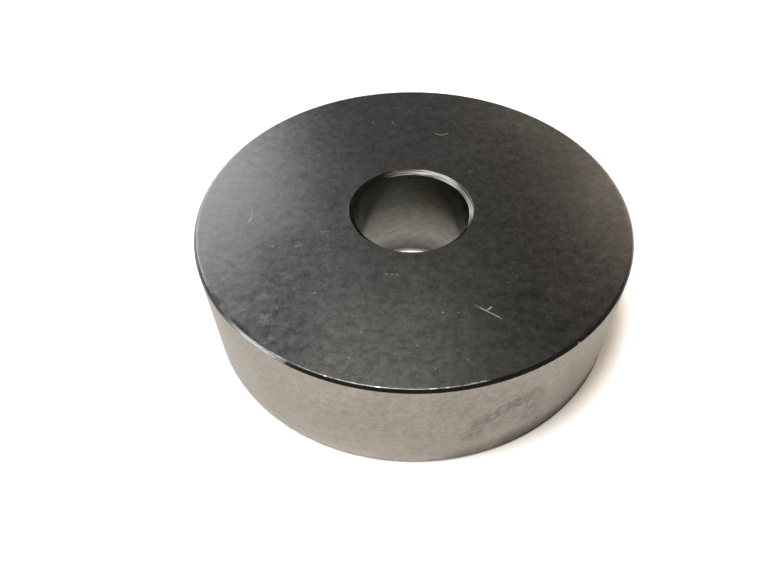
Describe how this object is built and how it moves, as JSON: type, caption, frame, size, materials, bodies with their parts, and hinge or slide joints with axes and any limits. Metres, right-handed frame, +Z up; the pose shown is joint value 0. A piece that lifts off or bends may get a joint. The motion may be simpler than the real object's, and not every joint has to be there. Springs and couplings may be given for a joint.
{
  "type": "turned steel disc with bore",
  "caption": "Thick round disc turned from solid steel, with flat faced ends, a plain central bore, and small chamfers on its rim and bore edges.",
  "frame": {"origin": "centre of the bottom face, on the axis of the bore", "axes": "+Z up along the axis of turning, from the bottom face to the top face; the disc is round, so +X and +Y lie anywhere across it"},
  "size_m": [0.1, 0.1, 0.0275],
  "materials": {
    "turned_steel": "turned steel: end faces under a dark grey satin oxide film, rim and bore in paler warm grey turned metal, bright bare chamfers at the bore"
  },
  "bodies": {
    "root": {"turned_disc": "turned_steel"}
  },
  "joints": []
}
